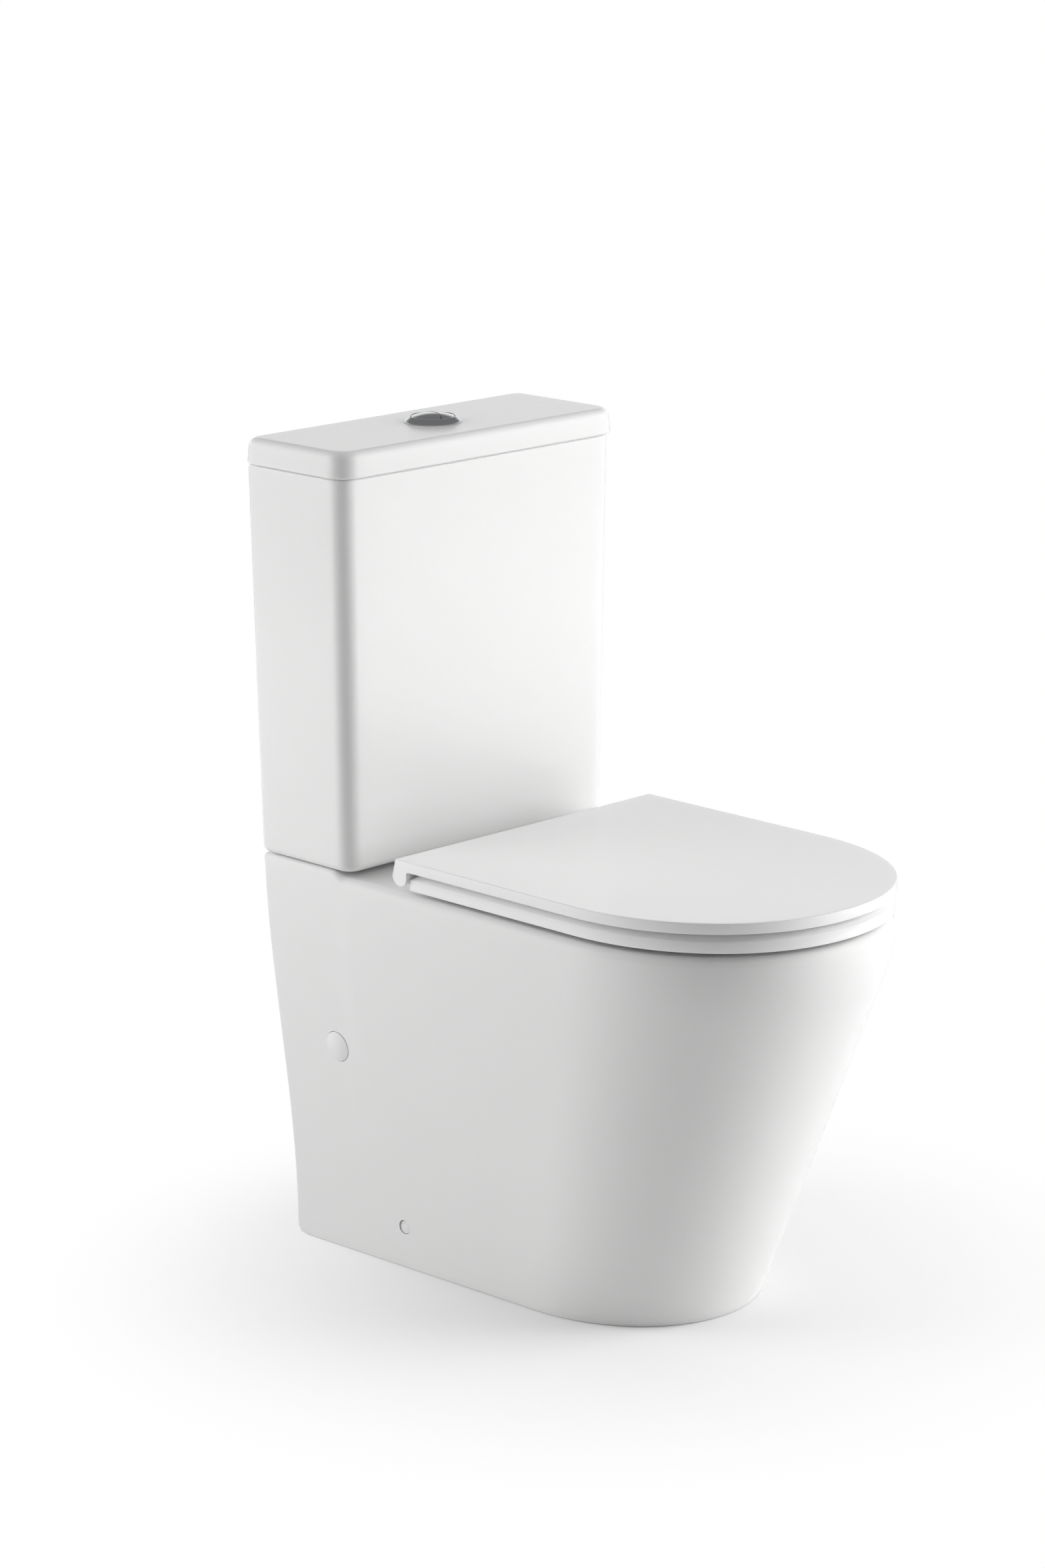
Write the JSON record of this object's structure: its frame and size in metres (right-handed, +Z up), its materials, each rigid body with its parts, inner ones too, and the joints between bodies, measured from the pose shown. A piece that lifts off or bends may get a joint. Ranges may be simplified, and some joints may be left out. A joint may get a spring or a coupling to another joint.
{
  "type": "close coupled toilet",
  "caption": "Close coupled back to wall toilet: skirted china pan, tapered cistern with round dual flush button, and slim D-shaped seat with cover.",
  "frame": {"origin": "on the floor under the middle of the whole object's box", "axes": "+Z up, +Y to the wall behind, the bowl's nose points along -Y, +X to the right seen from the front"},
  "size_m": [0.3766, 0.6342, 0.8443],
  "materials": {
    "china": "white gloss glaze over vitreous china",
    "seat_resin": "white moulded resin, gloss",
    "button_chrome": "polished chrome plating",
    "cap_plastic": "white moulded plastic, satin gloss",
    "valve_plastic": "moulded valve plastic, light grey",
    "valve_accent": "moulded valve plastic, blue",
    "float_foam": "dark moulded float",
    "rubber_black": "black moulded rubber",
    "rubber_clear": "translucent grey elastomer",
    "steel_bolt": "stainless steel",
    "brass_part": "plain brass",
    "zinc_bracket": "zinc plated pressed steel"
  },
  "bodies": {
    "pan_and_cistern": {"pan": "china", "pan_bowl": "china", "pan_trap": "china", "access_caps": "cap_plastic", "floor_brackets": "zinc_bracket", "bracket_screws": "steel_bolt", "screw_caps": "cap_plastic", "cistern_tank": "china", "flush_valve_base": "valve_plastic", "flush_valve_cage": "valve_plastic", "flush_valve_washer": "rubber_black", "flush_valve_backnut": "valve_plastic", "coupling_gasket": "rubber_black", "fill_valve_shank": "valve_plastic", "fill_valve_washer": "rubber_black", "fill_valve_locknut": "brass_part", "fill_valve_head": "valve_plastic", "fill_valve_cap": "valve_accent", "float_arm_pin": "steel_bolt", "cistern_bolts": "steel_bolt", "bolt_seals": "rubber_black", "cistern_pads": "rubber_black", "bolt_washers": "steel_bolt", "wing_nuts": "brass_part", "hinge_posts": "button_chrome", "hinge_pins": "steel_bolt", "seat_bolts": "steel_bolt", "seat_bushes": "rubber_black", "seat_nuts": "cap_plastic"},
    "cistern_lid": {"cistern_lid": "china", "button_bezel": "button_chrome", "bezel_locknut": "valve_plastic", "full_button_spring": "steel_bolt", "half_button_spring": "steel_bolt"},
    "full_button": {"full_flush_button": "button_chrome", "full_push_rod": "valve_plastic"},
    "half_button": {"half_flush_button": "button_chrome", "half_push_rod": "valve_plastic"},
    "full_actuator": {"full_actuator": "valve_accent"},
    "half_actuator": {"half_actuator": "valve_accent"},
    "flush_plunger": {"overflow_tube": "valve_plastic", "flush_float": "float_foam", "flush_seal": "rubber_black"},
    "fill_float": {"float_cup": "float_foam", "float_rod": "steel_bolt"},
    "float_arm": {"float_arm": "valve_plastic"},
    "seat_cover": {"seat_cover": "seat_resin", "cover_buffers": "rubber_clear", "cover_dampers": "valve_plastic"},
    "seat_ring": {"seat_ring": "seat_resin", "ring_buffers": "rubber_clear", "ring_dampers": "valve_plastic"}
  },
  "joints": [
    {"name": "cistern_lid_lift", "type": "slide", "parent": "pan_and_cistern", "child": "cistern_lid", "axis": [0, 0, 1], "range_m": [0, 0.12]},
    {"name": "full_button_press", "type": "slide", "parent": "cistern_lid", "child": "full_button", "axis": [0, 0, -1], "range_m": [0, 0.006], "stiffness_N_per_m": 300, "springref_m": -0.005, "deforming": ["full_button_spring"]},
    {"name": "half_button_press", "type": "slide", "parent": "cistern_lid", "child": "half_button", "axis": [0, 0, -1], "range_m": [0, 0.006], "stiffness_N_per_m": 300, "springref_m": -0.005, "deforming": ["half_button_spring"]},
    {"name": "flush_plunger_lift", "type": "slide", "parent": "pan_and_cistern", "child": "flush_plunger", "axis": [0, 0, 1], "range_m": [0, 0.024]},
    {"name": "full_actuator_slide", "type": "slide", "parent": "pan_and_cistern", "child": "full_actuator", "axis": [0, 0, -1], "range_m": [0, 0.006]},
    {"name": "half_actuator_slide", "type": "slide", "parent": "pan_and_cistern", "child": "half_actuator", "axis": [0, 0, -1], "range_m": [0, 0.006]},
    {"name": "fill_float_rise", "type": "slide", "parent": "pan_and_cistern", "child": "fill_float", "axis": [0, 0, 1], "range_m": [0, 0.08]},
    {"name": "float_arm_tilt", "type": "hinge", "parent": "pan_and_cistern", "child": "float_arm", "pos_m": [0.086, 0.2471, 0.704], "axis": [0, 1, 0], "range_deg": [0, 20]},
    {"name": "seat_cover_hinge", "type": "hinge", "parent": "pan_and_cistern", "child": "seat_cover", "pos_m": [0, 0.1121, 0.425], "axis": [-1, 0, 0], "range_deg": [0, 95]},
    {"name": "seat_ring_hinge", "type": "hinge", "parent": "pan_and_cistern", "child": "seat_ring", "pos_m": [0, 0.1121, 0.425], "axis": [-1, 0, 0], "range_deg": [0, 91.2]}
  ],
  "couplings": [
    {"joint": "full_button_press", "follows": "flush_plunger_lift", "ratio": 0.25},
    {"joint": "full_actuator_slide", "follows": "flush_plunger_lift", "ratio": 0.25},
    {"joint": "half_actuator_slide", "follows": "half_button_press", "ratio": 1},
    {"joint": "float_arm_tilt", "follows": "fill_float_rise", "rad_per_m": 4.36},
    {"joint": "seat_ring_hinge", "follows": "seat_cover_hinge", "ratio": 0.96}
  ]
}
